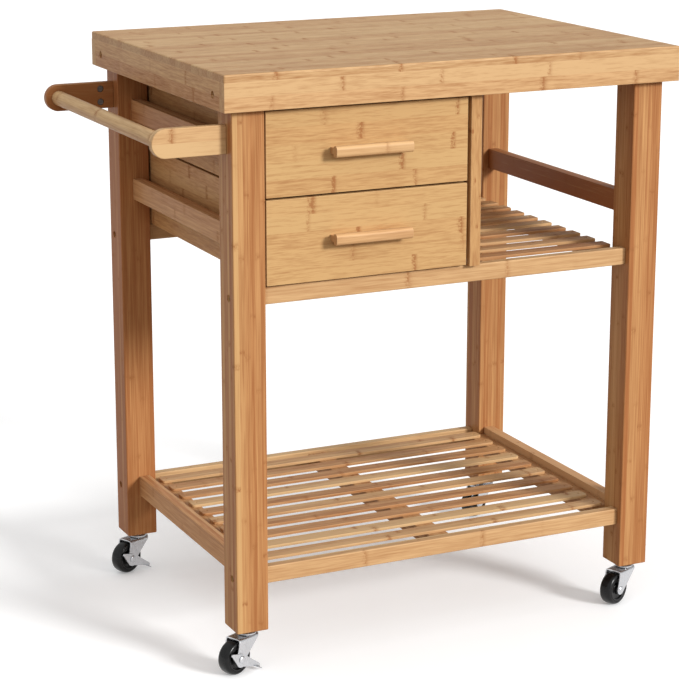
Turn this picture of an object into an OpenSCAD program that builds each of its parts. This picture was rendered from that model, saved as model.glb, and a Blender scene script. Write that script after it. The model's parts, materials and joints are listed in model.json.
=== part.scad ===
// Rolling kitchen cart in laminated bamboo: a worktop on four legs, two drawers beside
// an open slatted bay, a slatted lower shelf, a towel bar and four swivel casters.
// Cart coordinates: x runs from the left face of the worktop, y from its front face,
// z from the floor. placed() then puts the origin at the middle of the footprint.

/* [Worktop] */
// Width of the worktop
top_w = 714; // [640:1:800]
// Depth of the worktop
top_d = 530; // [480:1:600]
// Height of the worktop above the floor
top_h = 860; // [820:1:920]
// Thickness of the top panel
panel_t = 11; // [8:1:14]
// Height of the apron boards under the panel
apron_h = 40; // [35:1:50]
// Thickness of the apron boards
apron_t = 17; // [15:1:20]

/* [Legs and rails] */
// Side of the square legs
leg_s = 48; // [44:1:52]
// Height of the legs' lower ends above the floor
leg_z = 63; // [63:1:66]
// Height of the front and back rails
rail_h = 25; // [24:1:32]
// Thickness of the front and back rails
rail_t = 15; // [12:1:17]
// Depth of the front rails behind the legs' front faces
rail_inset = 10; // [6:1:12]
// Height of the side rails
side_rail_h = 32; // [28:1:36]
// Thickness of the side rails
side_rail_t = 17; // [14:1:18]
// Depth of the side rails behind the legs' outer faces
side_rail_inset = 21; // [18:1:24]

/* [Shelves] */
// Height of the middle shelf's surface
mid_z = 561; // [540:1:562]
// Height of the lower shelf's surface
low_z = 154; // [140:1:180]
// Number of slats in each shelf
slat_n = 10; // [8:1:11]
// Width of a slat
slat_w = 24; // [22:1:30]
// Thickness of a slat
slat_t = 4.5; // [4:0.5:6]
// Corner radius of the lower slats' ends
slat_end_r = 6; // [2:1:11]
// Gap from the side rails to the lower slats' ends
slat_end_gap = 15; // [8:1:16]
// Width of the battens that carry the slats
batten_w = 30; // [26:1:32]

/* [Drawers] */
// Width of a drawer front
drawer_w = 309; // [280:1:320]
// Height of a drawer front
front_h = 119; // [110:1:119]
// Thickness of a drawer front
front_t = 15; // [12:1:16]
// Gap above and below each drawer front
front_gap = 3; // [2:0.5:3]
// Gap between the left leg and the drawer fronts
left_gap = 1.5; // [1:0.5:2]
// Gap between the drawer fronts and the divider
right_gap = 5.5; // [3:0.5:7]
// Length of a drawer side
side_l = 440; // [400:5:445]
// Thickness of the drawer sides and back
side_t = 12; // [11:1:14]
// Thickness of the drawer bottom
bottom_t = 5; // [3:1:6]
// Thickness of the divider panel
divider_t = 17; // [15:1:20]
// Thickness of the back panel behind the drawers
back_panel_t = 9; // [6:1:12]
// Length of a drawer pull
pull_l = 118; // [90:1:140]

/* [Towel bar] */
// Reach of the towel bar from the legs
bar_reach = 107; // [90:1:120]
// Height of a bar arm
arm_h = 40; // [36:1:44]
// Thickness of a bar arm
arm_t = 12; // [12:1:16]
// Diameter of the bar
bar_d = 22; // [18:1:24]
// Height of the bar's middle
bar_z = 768; // [760:1:775]

/* [Casters] */
// Wheel diameter
wheel_d = 50; // [48:1:50]
// Wheel width
wheel_w = 20; // [18:1:20]
// Distance of the axle behind the swivel
trail = 26; // [24:1:28]
// Direction in which the wheels trail
trail_dir = 203; // [0:1:359]

/* [Hidden] */
$fn = 48;

bamboo = "burlywood";
bamboo_dark = "peru";
steel = "silver";
black = "dimgray";

// How far a cut runs past the faces that it opens
over = 1;

// Worktop and legs
panel_z = top_h - panel_t;
apron_z = panel_z - apron_h;
apron_mid = apron_z + apron_h / 2;
leg_l = panel_z - leg_z;
leg_in = apron_t + leg_s;
leg_c = apron_t + leg_s / 2;
leg_x = [leg_c, top_w - leg_c];
leg_y = [leg_c, top_d - leg_c];

// Rails
rail_y = [apron_t + rail_inset, top_d - apron_t - rail_inset - rail_t];
rail_x = leg_in;
rail_l = top_w - 2 * leg_in;
side_rail_x = [apron_t + side_rail_inset, top_w - apron_t - side_rail_inset - side_rail_t];
side_rail_l = top_d - 2 * leg_in;
low_side_z = low_z - rail_h;

// Slats lie between the rails, level with them
shelf_y0 = rail_y[0] + rail_t;
shelf_d = rail_y[1] - shelf_y0;
slat_gap = (shelf_d - slat_n * slat_w) / (slat_n + 1);
slat_x = [side_rail_x[0] + side_rail_t + slat_end_gap,
          side_rail_x[1] - slat_end_gap];
batten_h = rail_h - slat_t;
mid_end_r = 1;
low_batten_x = [side_rail_x[0] + side_rail_t, (top_w - batten_w) / 2,
                side_rail_x[1] - batten_w];

// Drawers, one above the other, centred on the rails that carry their runners
front_x = leg_in + left_gap;
front_y = apron_t;
lower_z = mid_z + front_gap;
upper_z = lower_z + front_h + front_gap;
divider_x = front_x + drawer_w + right_gap;
mid_batten_w = 20;
mid_batten_x = [divider_x, slat_x[1] - mid_batten_w];
box_gap = 1.5;
box_x = front_x + box_gap;
box_w = drawer_w - 2 * box_gap;
box_rise = 2;
box_h = front_h;
box_y = front_y + front_t;
bottom_up = 8;
bottom_groove = 5;
runner_h = 12;
runner_play = 0.5;
runner_groove = 6;
runner_z = [lower_z + front_h / 2, upper_z + front_h / 2];

// Fasteners
bore_play = 0.25;
bolt_d = 6;
bolt_head_d = 9.5;
bolt_head_h = 5;
sink_d = 10.5;
sink_depth = 8;
bolt_grip = 30;
screw_d = 4;
screw_head_d = 8;
screw_sunk = 1;
screw_tip = 1;
bar_bolt_gap = 20;
barrel_d = 10;
barrel_back = 21;
barrel_sunk = 1;
barrel_wall = 2.5;
slat_screw_d = 3;
slat_screw_bite = slat_t - 1;

// Bolts run through the legs into the ends of the front and back rails
rail_bolt_y = [rail_y[0] + rail_t / 2, rail_y[1] + rail_t / 2];
rail_bolt_z = [low_z - rail_h / 2, mid_z - rail_h / 2];
bar_bolt_z = [bar_z - bar_bolt_gap / 2, bar_z + bar_bolt_gap / 2];

// Screws come up through the outer battens into every slat
low_screw_x = [slat_x[0] + batten_w / 3, slat_x[1] - batten_w / 3];
mid_screw_x = [for (x = mid_batten_x) x + mid_batten_w / 2];

// Drawer pulls: a rounded bar on a narrower neck
pull_h = 16;
pull_bar_t = 12;
pull_neck_h = 9;
pull_out = 22;
pull_screw_gap = 64;
pull_screw_x = [front_x + (drawer_w - pull_screw_gap) / 2,
                front_x + (drawer_w + pull_screw_gap) / 2];
pull_wall = 4;
pull_round = 5.5;

// Heights of the screws that hold each side to the back, above and below the groove
back_screw_z = [30, 90];
back_screw_l = 30;

// Casters: the swivel plate runs between a fixed race and the stem's riveted end
stem_d = 10;
stem_up = 38;
race_d = 28;
rivet_d = 15;
rivet_t = 2;
plate_d = 32;
plate_front = trail + 2;
plate_t = 2.5;
plate_z = 51.5;
end_play = 0.3;
stem_play = 0.05;
axle_d = 6;
fork_gap = wheel_w + 4;
fork_t = 2;
cheek_lip = 1;
boss_d = 16;
cheek_back = -7;
lever_t = 1.6;
lever_angle = 31;
lever_toe = 34;
lever_tail = 20;

// Towel bar
arm_socket = 8;
bar_x = apron_t - bar_reach + arm_h / 2;

// Footprint
bar_out = bar_reach - apron_t;
pull_front = pull_out - apron_t;
origin_x = (top_w - bar_out) / 2;
origin_y = (top_d - pull_front) / 2;

module placed() {
    translate([-origin_x, -origin_y, 0]) children();
}

// A straight board with one corner at p
module board(p, size) {
    translate(p) cube(size);
}

// A cylinder from p along x, y or z; a negative length runs backwards
module rod_x(p, d, l) {
    translate(p) rotate([0, l < 0 ? -90 : 90, 0]) cylinder(d = d, h = abs(l));
}

module rod_y(p, d, l) {
    translate(p) rotate([l < 0 ? 90 : -90, 0, 0]) cylinder(d = d, h = abs(l));
}

module rod_z(p, d, l) {
    translate(p) cylinder(d = d, h = l);
}

// A rectangle with true round corners, w by h, lower left corner at the origin
module round_rect(w, h, r) {
    translate([r, 0]) square([w - 2 * r, h]);
    translate([0, r]) square([w, h - 2 * r]);
    for (x = [r, w - r], y = [r, h - r])
        translate([x, y]) circle(r);
}

// ---- Worktop ----

module top_panel() {
    placed() color(bamboo) board([0, 0, panel_z], [top_w, top_d, panel_t]);
}

// The front and back aprons cover the ends of the side aprons
module apron_long(y) {
    placed() color(bamboo) board([0, y, apron_z], [top_w, apron_t, apron_h]);
}

module apron_short(i) {
    x = i == 0 ? 0 : top_w - apron_t;
    out = i == 0 ? 0 : top_w;
    dir = i == 0 ? 1 : -1;
    placed() color(bamboo) difference() {
        board([x, apron_t, apron_z], [apron_t, top_d - 2 * apron_t, apron_h]);
        for (y = leg_y) {
            x0 = out - dir * over;
            rod_x([x0, y, apron_mid], screw_d + 2 * bore_play, dir * (apron_t + 2 * over));
            rod_x([x0, y, apron_mid], sink_d, dir * (sink_depth + over));
        }
    }
}

// One screw on each end of each side apron, into the leg behind it
module apron_screws() {
    placed() color(steel)
        for (i = [0, 1], y = leg_y) {
            dir = i == 0 ? 1 : -1;
            out = i == 0 ? sink_depth : top_w - sink_depth;
            rod_x([out, y, apron_mid], screw_d, dir * (bolt_grip + apron_t - sink_depth));
            rod_x([out, y, apron_mid], screw_head_d, -dir * (screw_d / 2));
        }
}

// ---- Legs ----

// i: 0 left, 1 right; j: 0 front, 1 back
module leg(i, j) {
    x = leg_x[i] - leg_s / 2;
    y = leg_y[j] - leg_s / 2;
    dir = i == 0 ? 1 : -1;
    out = i == 0 ? apron_t - over : top_w - apron_t + over;
    placed() color(bamboo) difference() {
        board([x, y, leg_z], [leg_s, leg_s, leg_l]);
        rod_z([leg_x[i], leg_y[j], leg_z - over], stem_d + 2 * bore_play, stem_up + 2 * over);
        rod_x([out, leg_y[j], apron_mid], screw_d + 2 * bore_play, dir * (bolt_grip + 2 * over));
        for (z = rail_bolt_z) {
            rod_x([out, rail_bolt_y[j], z], bolt_d + 2 * bore_play, dir * (leg_s + 2 * over));
            rod_x([out, rail_bolt_y[j], z], sink_d, dir * (sink_depth + over));
        }
        if (i == 0)
            for (z = bar_bolt_z) {
                rod_x([out, leg_y[j], z], bolt_d + 2 * bore_play, leg_s + 2 * over);
                rod_x([leg_in + over, leg_y[j], z], sink_d, -sink_depth - over);
            }
    }
}

module rail_bolts() {
    placed() color(steel)
        for (i = [0, 1], y = rail_bolt_y, z = rail_bolt_z) {
            dir = i == 0 ? 1 : -1;
            head = i == 0 ? apron_t + sink_depth : top_w - apron_t - sink_depth;
            rod_x([head, y, z], bolt_d, dir * (leg_s - sink_depth + bolt_grip));
            rod_x([head, y, z], bolt_head_d, -dir * bolt_head_h);
        }
}

// ---- Rails ----

// A front or back rail with its top at z
module cross_rail(j, z) {
    placed() color(bamboo) difference() {
        board([rail_x, rail_y[j], z - rail_h], [rail_l, rail_t, rail_h]);
        for (x = [rail_x - over, rail_x + rail_l - bolt_grip - over])
            rod_x([x, rail_bolt_y[j], z - rail_h / 2],
                  bolt_d + 2 * bore_play, bolt_grip + 2 * over);
    }
}

// A side rail with its foot at z, between the front and back legs
module side_rail(i, z) {
    placed() color(bamboo_dark)
        board([side_rail_x[i], leg_in, z], [side_rail_t, side_rail_l, side_rail_h]);
}

// ---- Shelves ----

function slat_y(k) = shelf_y0 + slat_gap + k * (slat_w + slat_gap);

// Slats from x0 to the right end of the shelf, with end corners of radius r
module slats(z, x0, r, screw_x) {
    placed() color(bamboo)
        for (k = [0 : slat_n - 1])
            difference() {
                translate([x0, slat_y(k), z - slat_t])
                    linear_extrude(slat_t) round_rect(slat_x[1] - x0, slat_w, r);
                for (x = screw_x)
                    rod_z([x, slat_y(k) + slat_w / 2, z - slat_t - over],
                          slat_screw_d + 2 * bore_play, slat_screw_bite + 2 * over);
            }
}

// Battens run from rail to rail, and one beside a leg from leg to leg
function batten_y(x, w) = x < leg_in || x + w > top_w - leg_in ? leg_in : shelf_y0;

// The battens under the slats, along the depth of the cart
module battens(z, xs, w, screw_x) {
    placed() color(bamboo_dark)
        for (x = xs)
            difference() {
                board([x, batten_y(x, w), z - rail_h],
                      [w, top_d - 2 * batten_y(x, w), batten_h]);
                for (k = [0 : slat_n - 1], s = screw_x)
                    rod_z([s, slat_y(k) + slat_w / 2, z - rail_h - over],
                          slat_screw_d + 2 * bore_play, batten_h + 2 * over);
            }
}

module slat_screw(x, z) {
    for (k = [0 : slat_n - 1]) {
        y = slat_y(k) + slat_w / 2;
        rod_z([x, y, z - rail_h], slat_screw_d, batten_h + slat_screw_bite);
        rod_z([x, y, z - rail_h - slat_screw_d / 2], 2 * slat_screw_d, slat_screw_d / 2);
    }
}

module slat_screws() {
    placed() color(steel) {
        for (x = low_screw_x) slat_screw(x, low_z);
        for (x = mid_screw_x) slat_screw(x, mid_z);
    }
}

// ---- Drawer bay: divider, back panel and runners ----

module divider() {
    placed() color(bamboo)
        board([divider_x, apron_t, mid_z],
              [divider_t, top_d - 2 * apron_t, panel_z - mid_z]);
}

// The panel stands on the back rail and closes the bay behind the drawers
module back_panel() {
    placed() color(bamboo)
        board([leg_in, rail_y[1] + (rail_t - back_panel_t) / 2, mid_z],
              [divider_x - leg_in, back_panel_t, panel_z - mid_z]);
}

// Strips that fit the grooves in the drawer sides, on the left rails and on the divider
module runners() {
    left = side_rail_x[0] + side_rail_t;
    left_end = box_x + runner_groove - runner_play;
    right = box_x + box_w - runner_groove + runner_play;
    placed() color(bamboo_dark)
        for (z = runner_z) {
            board([left, leg_in, z - runner_h / 2], [left_end - left, side_rail_l, runner_h]);
            board([right, leg_in, z - runner_h / 2], [divider_x - right, side_rail_l, runner_h]);
        }
}

// ---- Drawers, drawn with the foot of the front at z ----

module drawer_front(z) {
    placed() color(bamboo) difference() {
        board([front_x, front_y, z], [drawer_w, front_t, front_h]);
        board([box_x + side_t - bottom_groove, box_y - bottom_groove, z + bottom_up],
              [box_w - 2 * side_t + 2 * bottom_groove, bottom_groove + over, bottom_t]);
        for (x = pull_screw_x)
            rod_y([x, front_y - over, z + front_h / 2],
                  screw_d + 2 * bore_play, front_t + 2 * over);
    }
}

module drawer_sides(z) {
    placed() color(bamboo)
        for (i = [0, 1]) {
            x = i == 0 ? box_x : box_x + box_w - side_t;
            groove_x = i == 0 ? x - over : x + side_t - runner_groove;
            floor_x = i == 0 ? x + side_t - bottom_groove : x - over;
            difference() {
                board([x, box_y, z + box_rise], [side_t, side_l, box_h]);
                board([groove_x, box_y + front_t, z + front_h / 2 - runner_h / 2 - runner_play],
                      [runner_groove + over, side_l, runner_h + 2 * runner_play]);
                board([floor_x, box_y - over, z + bottom_up],
                      [bottom_groove + over, side_l + 2 * over, bottom_t]);
                for (u = back_screw_z)
                    rod_x([x - over, box_y + side_l - side_t / 2, z + u],
                          screw_d + 2 * bore_play, side_t + 2 * over);
            }
        }
}

// The back stands on the drawer bottom
module drawer_back(z) {
    foot = bottom_up + bottom_t;
    placed() color(bamboo) difference() {
        board([box_x + side_t, box_y + side_l - side_t, z + foot],
              [box_w - 2 * side_t, side_t, box_rise + box_h - foot]);
        for (u = back_screw_z, x = [box_x - over, box_x + box_w - back_screw_l - over])
            rod_x([x, box_y + side_l - side_t / 2, z + u],
                  screw_d + 2 * bore_play, back_screw_l + 2 * over);
    }
}

module drawer_bottom(z) {
    placed() color(bamboo_dark)
        board([box_x + side_t - bottom_groove, box_y - bottom_groove, z + bottom_up],
              [box_w - 2 * side_t + 2 * bottom_groove, side_l + bottom_groove, bottom_t]);
}

module drawer_pull(z) {
    placed() color(bamboo_dark)
        difference() {
            translate([front_x + (drawer_w - pull_l) / 2, front_y, z + front_h / 2])
                rotate([90, 0, 90]) linear_extrude(pull_l) pull_section();
            for (x = pull_screw_x)
                rod_y([x, front_y + over, z + front_h / 2],
                      screw_d + 2 * bore_play, pull_wall - pull_out - over);
        }
}

// Seen along the pull: the neck meets the drawer front at x = 0
module pull_section() {
    translate([-pull_out, -pull_h / 2]) round_rect(pull_bar_t, pull_h, pull_round);
    translate([-pull_out + pull_bar_t / 2, -pull_neck_h / 2])
        square([pull_out - pull_bar_t / 2, pull_neck_h]);
}

// Two screws into the pull from inside, and two through each side into the back
module drawer_screws(z) {
    placed() color(steel) {
        for (x = pull_screw_x) {
            rod_y([x, box_y, z + front_h / 2], screw_d,
                  pull_wall + screw_tip - front_t - pull_out);
            rod_y([x, box_y, z + front_h / 2], screw_head_d, screw_d / 2);
        }
        for (u = back_screw_z, i = [0, 1]) {
            dir = i == 0 ? 1 : -1;
            x = i == 0 ? box_x + screw_sunk : box_x + box_w - screw_sunk;
            rod_x([x, box_y + side_l - side_t / 2, z + u], screw_d, dir * back_screw_l);
        }
    }
}

// ---- Towel bar ----

// The holes for the bar and the barrel nuts open on the inner face, and stop short of the outer
module bar_arm(j) {
    y = leg_y[j] - arm_t / 2;
    into = j == 0 ? 1 : -1;
    inner = leg_y[j] + into * arm_t / 2;
    placed() color(bamboo) difference() {
        union() {
            board([bar_x, y, bar_z - arm_h / 2], [apron_t - bar_x, arm_t, arm_h]);
            rod_y([bar_x, y, bar_z], arm_h, arm_t);
        }
        rod_y([bar_x, inner + into * over, bar_z],
              bar_d + 2 * bore_play, -into * (arm_socket + over));
        for (z = bar_bolt_z) {
            rod_y([apron_t - barrel_back, inner + into * over, z],
                  barrel_d + 2 * bore_play, into * (barrel_wall - arm_t - over));
            rod_x([apron_t + over, leg_y[j], z], bolt_d + 2 * bore_play,
                  -barrel_back - barrel_d);
        }
    }
}

module towel_bar() {
    y0 = leg_y[0] + arm_t / 2 - arm_socket;
    placed() color(bamboo) rod_y([bar_x, y0, bar_z], bar_d, top_d - 2 * y0);
}

// Bolts from inside each left leg reach a barrel nut in the arm
module bar_bolts() {
    placed() color(steel)
        for (y = leg_y, z = bar_bolt_z) {
            head = leg_in - sink_depth;
            rod_x([head, y, z], bolt_d,
                  -(head - apron_t + barrel_back - barrel_d / 2 - end_play));
            rod_x([head, y, z], bolt_head_d, bolt_head_h);
        }
}

module barrel_nuts() {
    placed() color(steel)
        for (j = [0, 1], z = bar_bolt_z) {
            into = j == 0 ? 1 : -1;
            rod_y([apron_t - barrel_back, leg_y[j] + into * (arm_t / 2 - barrel_sunk), z],
                  barrel_d, into * (barrel_sunk + barrel_wall - arm_t));
        }
}

// ---- Casters, drawn about the swivel axis with the wheel trailing along +x ----

module at_caster(i, j) {
    placed() translate([leg_x[i], leg_y[j], 0]) rotate([0, 0, trail_dir]) children();
}

// A stem in each leg: its race sits on the leg's end, and its foot holds the swivel plate
module caster_stems() {
    race_z = plate_z + plate_t + end_play;
    foot_z = plate_z - end_play - rivet_t;
    for (i = [0, 1], j = [0, 1])
        at_caster(i, j) color(steel) {
            rod_z([0, 0, race_z], race_d, leg_z - race_z);
            rod_z([0, 0, foot_z], stem_d, leg_z + stem_up - end_play - foot_z);
            rod_z([0, 0, foot_z], rivet_d, rivet_t);
        }
}

// The two cheeks taper from the sides of the swivel plate to the axle
module cheek() {
    hull() {
        translate([cheek_back, plate_z - cheek_lip])
            square([plate_front - cheek_back, cheek_lip]);
        translate([trail, wheel_d / 2]) circle(d = boss_d, $fn = 32);
    }
}

module fork(i, j) {
    at_caster(i, j) color(steel) difference() {
        union() {
            rod_z([0, 0, plate_z], plate_d, plate_t);
            board([0, -fork_gap / 2 - fork_t, plate_z],
                  [plate_front, fork_gap + 2 * fork_t, plate_t]);
            for (y = [fork_gap / 2, -fork_gap / 2 - fork_t]) {
                translate([0, y + fork_t, 0]) rotate([90, 0, 0]) linear_extrude(fork_t) cheek();
                board([cheek_back, y, plate_z - cheek_lip],
                      [plate_front - cheek_back, fork_t, cheek_lip + plate_t]);
            }
        }
        rod_z([0, 0, plate_z - over], stem_d + 2 * stem_play, plate_t + 2 * over);
        rod_y([trail, -fork_gap, wheel_d / 2], axle_d + 2 * stem_play, 2 * fork_gap);
    }
}

// Section of the wheel: a rounded tread, a dished side and a hub
module wheel(i, j) {
    rim_h = 10;
    tread_r = 4;
    dish = 3;
    hub_r = 8;
    hub_out = 1;
    at_caster(i, j) translate([trail, 0, wheel_d / 2]) rotate([90, 0, 0]) color(black)
        difference() {
            rotate_extrude($fn = 96) {
                translate([wheel_d / 2 - rim_h, -wheel_w / 2])
                    round_rect(rim_h, wheel_w, tread_r);
                translate([0, -wheel_w / 2 + dish])
                    square([(wheel_d - rim_h) / 2, wheel_w - 2 * dish]);
                translate([0, -wheel_w / 2 - hub_out]) square([hub_r, wheel_w + 2 * hub_out]);
            }
            translate([0, 0, -wheel_w]) cylinder(d = axle_d + 2 * stem_play, h = 2 * wheel_w);
        }
}

// A rivet through both cheeks; a braked one also carries the lever
module axle(i, j, braked) {
    head_d = 11;
    head_t = 2;
    near = fork_gap / 2 + fork_t + (braked ? lever_t + 2 * end_play : 0);
    far = fork_gap / 2 + fork_t;
    at_caster(i, j) translate([trail, 0, wheel_d / 2]) color(steel) {
        rod_y([0, -far, 0], axle_d, near + far);
        rod_y([0, near, 0], head_d, head_t);
        rod_y([0, -far - head_t, 0], head_d, head_t);
    }
}

// The brake lever turns on the axle outside the fork, and its toe bends outward
module brake(i, j) {
    y = fork_gap / 2 + fork_t + end_play;
    pedal = 7;
    pedal_w = 6;
    pedal_z = -2;
    heel = 2;
    at_caster(i, j) translate([trail, y, wheel_d / 2]) rotate([0, -lever_angle, 0])
        color(steel) difference() {
            union() {
                translate([0, lever_t, 0]) rotate([90, 0, 0]) linear_extrude(lever_t) {
                    hull() {
                        circle(d = boss_d, $fn = 32);
                        translate([lever_tail, 0]) circle(d = pedal_w, $fn = 32);
                    }
                    hull() {
                        circle(d = boss_d, $fn = 32);
                        translate([-lever_toe, pedal_z]) square([heel, pedal_w]);
                    }
                }
                board([-lever_toe - pedal, 0, pedal_z], [pedal + heel, lever_t, pedal_w]);
                board([-lever_toe - pedal, 0, pedal_z], [pedal, pedal, lever_t]);
            }
            rod_y([0, -over, 0], axle_d + 2 * stem_play, lever_t + 2 * over);
        }
}

top_panel();
apron_long(0);  // apron_front
apron_long(top_d - apron_t);  // apron_back
apron_short(0);  // apron_left
apron_short(1);  // apron_right
leg(0, 0);  // leg_front_left
leg(1, 0);  // leg_front_right
leg(0, 1);  // leg_back_left
leg(1, 1);  // leg_back_right
side_rail(0, runner_z[1] - side_rail_h / 2);  // drawer_rail_left
side_rail(0, runner_z[0] - side_rail_h / 2);  // side_rail_left
side_rail(1, runner_z[0] - side_rail_h / 2);  // side_rail_right
side_rail(0, low_side_z);  // low_side_rail_left
side_rail(1, low_side_z);  // low_side_rail_right
cross_rail(0, mid_z);  // mid_rail_front
cross_rail(1, mid_z);  // mid_rail_back
cross_rail(0, low_z);  // low_rail_front
cross_rail(1, low_z);  // low_rail_back
divider();
back_panel();
runners();
slats(mid_z, divider_x, mid_end_r, mid_screw_x);  // mid_slats
battens(mid_z, mid_batten_x, mid_batten_w, mid_screw_x);  // mid_battens
slats(low_z, slat_x[0], slat_end_r, low_screw_x);  // low_slats
battens(low_z, low_batten_x, batten_w, low_screw_x);  // low_battens
bar_arm(0);  // bar_arm_front
bar_arm(1);  // bar_arm_back
towel_bar();
bar_bolts();
barrel_nuts();
rail_bolts();
apron_screws();
slat_screws();
caster_stems();
drawer_front(upper_z);  // upper_front
drawer_sides(upper_z);  // upper_sides
drawer_back(upper_z);  // upper_back
drawer_bottom(upper_z);  // upper_bottom
drawer_pull(upper_z);  // upper_pull
drawer_screws(upper_z);  // upper_screws
drawer_front(lower_z);  // lower_front
drawer_sides(lower_z);  // lower_sides
drawer_back(lower_z);  // lower_back
drawer_bottom(lower_z);  // lower_bottom
drawer_pull(lower_z);  // lower_pull
drawer_screws(lower_z);  // lower_screws
fork(0, 0);  // fork_front_left
fork(1, 0);  // fork_front_right
fork(0, 1);  // fork_back_left
fork(1, 1);  // fork_back_right
wheel(0, 0);  // wheel_front_left
wheel(1, 0);  // wheel_front_right
wheel(0, 1);  // wheel_back_left
wheel(1, 1);  // wheel_back_right
axle(0, 0, true);  // axle_front_left
axle(1, 0, false);  // axle_front_right
axle(0, 1, true);  // axle_back_left
axle(1, 1, false);  // axle_back_right
brake(0, 0);  // brake_front_left
brake(0, 1);  // brake_back_left
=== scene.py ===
import json
import math
import random

import bmesh
import bpy
from mathutils import Matrix, Vector

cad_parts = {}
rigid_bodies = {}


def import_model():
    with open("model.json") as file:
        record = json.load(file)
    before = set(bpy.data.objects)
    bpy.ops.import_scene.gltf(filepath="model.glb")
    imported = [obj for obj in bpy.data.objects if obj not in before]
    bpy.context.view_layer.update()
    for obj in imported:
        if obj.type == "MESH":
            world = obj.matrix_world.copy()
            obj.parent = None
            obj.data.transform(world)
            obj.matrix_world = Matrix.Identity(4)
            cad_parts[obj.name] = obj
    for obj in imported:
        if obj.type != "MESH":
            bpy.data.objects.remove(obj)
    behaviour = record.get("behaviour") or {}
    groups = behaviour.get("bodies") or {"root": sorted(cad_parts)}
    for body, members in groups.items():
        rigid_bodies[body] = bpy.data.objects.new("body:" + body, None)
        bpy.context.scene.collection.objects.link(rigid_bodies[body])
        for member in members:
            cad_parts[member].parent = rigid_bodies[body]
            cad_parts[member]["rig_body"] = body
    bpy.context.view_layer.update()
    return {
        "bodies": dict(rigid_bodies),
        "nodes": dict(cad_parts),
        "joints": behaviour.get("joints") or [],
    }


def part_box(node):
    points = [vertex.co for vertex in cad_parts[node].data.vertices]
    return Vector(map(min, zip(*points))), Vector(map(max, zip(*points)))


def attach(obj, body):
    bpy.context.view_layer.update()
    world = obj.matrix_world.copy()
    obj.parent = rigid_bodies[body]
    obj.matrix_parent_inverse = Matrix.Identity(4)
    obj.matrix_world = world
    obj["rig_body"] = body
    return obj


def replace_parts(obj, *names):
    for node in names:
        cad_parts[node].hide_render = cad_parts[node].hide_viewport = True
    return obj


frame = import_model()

# The looks of a rolling bamboo kitchen cart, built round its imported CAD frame.
# Lengths are in metres, in the CAD frame: +X right, +Y to the back, +Z up.

MM = 0.001
AXIS = {"X": 0, "Y": 1, "Z": 2}
UP = Vector((0.0, 0.0, 1.0))
SEED = 23
draw = random.Random(SEED)


# ---- Shader graphs ----

# The Mix node's sockets for colours: share, first colour and second colour, then its result
MIX_IN = (0, 6, 7)
MIX_OUT = 2


class Graph:
    """Adds nodes to a material or a world. The methods give back output sockets."""

    def __init__(self, owner):
        owner.use_nodes = True
        self.owner = owner
        self.tree = owner.node_tree

    def set(self, socket, value):
        if isinstance(value, bpy.types.NodeSocket):
            self.tree.links.new(value, socket)
        else:
            socket.default_value = value

    def node(self, kind, values=(), **options):
        """The new node itself, with its options set and its inputs linked or set."""
        made = self.tree.nodes.new("ShaderNode" + kind)
        for key, value in options.items():
            setattr(made, key, value)
        for key, value in dict(values).items():
            self.set(made.inputs[key], value)
        return made

    def math(self, operation, *values):
        made = self.node("Math", operation=operation)
        for socket, value in zip(made.inputs, values):
            self.set(socket, value)
        return made.outputs[0]

    def add(self, a, b):
        return self.math("ADD", a, b)

    def less(self, a, b):
        return self.math("SUBTRACT", a, b)

    def times(self, a, b):
        return self.math("MULTIPLY", a, b)

    def times_add(self, a, b, extra):
        return self.math("MULTIPLY_ADD", a, b, extra)

    def lower(self, a, b):
        return self.math("MINIMUM", a, b)

    def higher(self, a, b):
        return self.math("MAXIMUM", a, b)

    def clamped(self, value):
        return self.node("Clamp", {0: value}).outputs[0]

    def swing(self, value, size, start):
        """start, moved by size times what value has over a half."""
        return self.times_add(self.less(value, 0.5), size, start)

    def ramp(self, value, low, high, start, stop, kind="LINEAR"):
        """value, from low to high, taken to start to stop."""
        values = {0: value, 1: low, 2: high, 3: start, 4: stop}
        return self.node("MapRange", values, interpolation_type=kind).outputs[0]

    def near(self, value, edge, soft):
        """1 where value is under edge, falling to 0 over soft."""
        end = edge + soft if isinstance(soft, float) else self.add(soft, edge)
        return self.ramp(value, edge, end, 1.0, 0.0, "SMOOTHSTEP")

    def scaled(self, value, low, high):
        """value, from 0 to 1, taken to low to high."""
        return self.ramp(value, 0.0, 1.0, low, high)

    def vector(self, x, y, z):
        return self.node("CombineXYZ", {0: x, 1: y, 2: z}).outputs[0]

    def split(self, vector):
        return self.node("SeparateXYZ", {0: vector}).outputs

    def place(self):
        """The point in the object's own frame."""
        return self.node("TexCoord").outputs["Object"]

    def attribute(self, name):
        return self.split(self.node("Attribute", attribute_name=name).outputs["Vector"])

    def random(self, x, y, z):
        """Four random numbers that stay the same over each whole-number cell."""
        made = self.node("TexWhiteNoise", {"Vector": self.vector(x, y, z)})
        return [made.outputs["Value"], *self.split(made.outputs["Color"])]

    def noise(self, vector, scale=1.0, detail=2.0, roughness=0.5):
        values = {"Vector": vector, "Scale": scale, "Detail": detail, "Roughness": roughness}
        return self.node("TexNoise", values).outputs["Fac"]

    def mix(self, share, a, b, blend="MIX"):
        made = self.node("Mix", data_type="RGBA", blend_type=blend)
        for socket, value in zip(MIX_IN, (share, a, b)):
            self.set(made.inputs[socket], value)
        return made.outputs[MIX_OUT]


class Finish(Graph):
    """The graph of one new material."""

    def __init__(self, name):
        super().__init__(bpy.data.materials.new(name))
        self.surface = self.tree.nodes["Principled BSDF"]

    def bump(self, height, strength, distance):
        values = {"Height": height, "Strength": strength, "Distance": distance}
        self.set(self.surface.inputs["Normal"], self.node("Bump", values).outputs[0])

    def principled(self, **values):
        """Sets the shader's inputs, and gives back the material."""
        for key, value in values.items():
            self.set(self.surface.inputs[key.replace("_", " ")], value)
        return self.owner


def colour(red, green, blue):
    return (red, green, blue, 1.0)


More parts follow.
